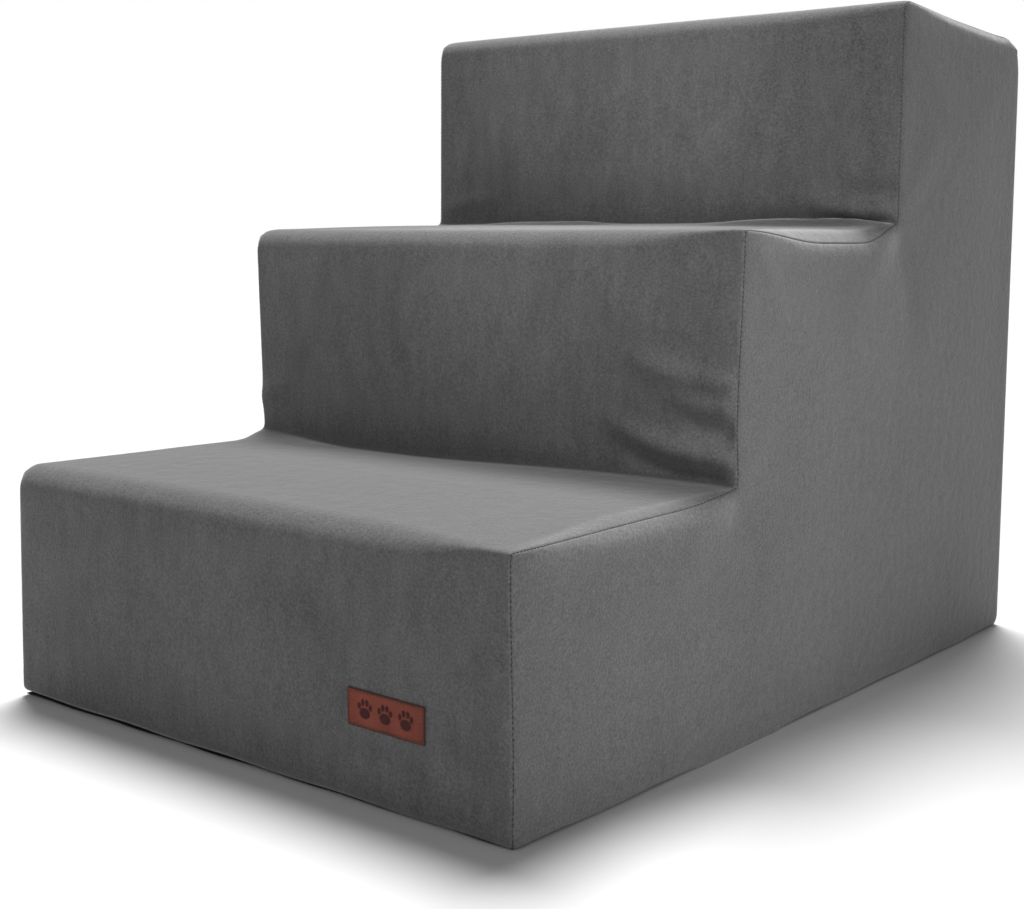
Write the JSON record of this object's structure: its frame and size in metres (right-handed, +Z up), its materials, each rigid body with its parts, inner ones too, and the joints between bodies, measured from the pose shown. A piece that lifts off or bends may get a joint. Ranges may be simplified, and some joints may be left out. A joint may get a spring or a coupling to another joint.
{
  "type": "pet stairs",
  "caption": "Foam pet stairs in a velvet cover, with level treads, upright risers, an anti-slip base and a zip at the back.",
  "frame": {"origin": "centre of the footprint, on the underside that rests on the floor", "axes": "+Z up, -Y towards the low front step, +X across the stairs to the right seen from the front"},
  "size_m": [0.4, 0.6061, 0.45],
  "materials": {
    "velvet": "matte",
    "grip_cloth": "matte",
    "seam_thread": "matte",
    "foam": "matte",
    "label_leather": "satin",
    "zip_tape": "matte",
    "zip_coil": "satin",
    "zip_thread": "matte",
    "zip_metal": "satin"
  },
  "bodies": {
    "cover": {"foam_lower": "foam", "foam_middle": "foam", "foam_upper": "foam", "cover_strip": "velvet", "side_panel_left": "velvet", "side_panel_right": "velvet", "back_border": "velvet", "bottom_panel": "grip_cloth", "seam_thread_left": "seam_thread", "seam_thread_right": "seam_thread", "bottom_seam_thread": "seam_thread", "label": "label_leather", "label_stitching": "seam_thread", "zip_tape_inner": "zip_tape", "zip_tape_outer": "zip_tape", "zip_coil_inner": "zip_coil", "zip_coil_outer": "zip_coil", "zip_stitching_inner": "zip_thread", "zip_stitching_outer": "zip_thread", "zip_top_stop_inner": "zip_metal", "zip_top_stop_outer": "zip_metal", "zip_bottom_stop": "zip_metal"},
    "slider": {"zip_slider": "zip_metal"},
    "pull": {"zip_pull": "zip_metal"}
  },
  "joints": [
    {"name": "zip_slide", "type": "slide", "parent": "cover", "child": "slider", "axis": [0, 0, -1], "range_m": [0, 0.356]},
    {"name": "pull_swing", "type": "hinge", "parent": "slider", "child": "pull", "pos_m": [0.178, 0.30165, 0.3987], "axis": [1, 0, 0], "range_deg": [0, 170]}
  ]
}
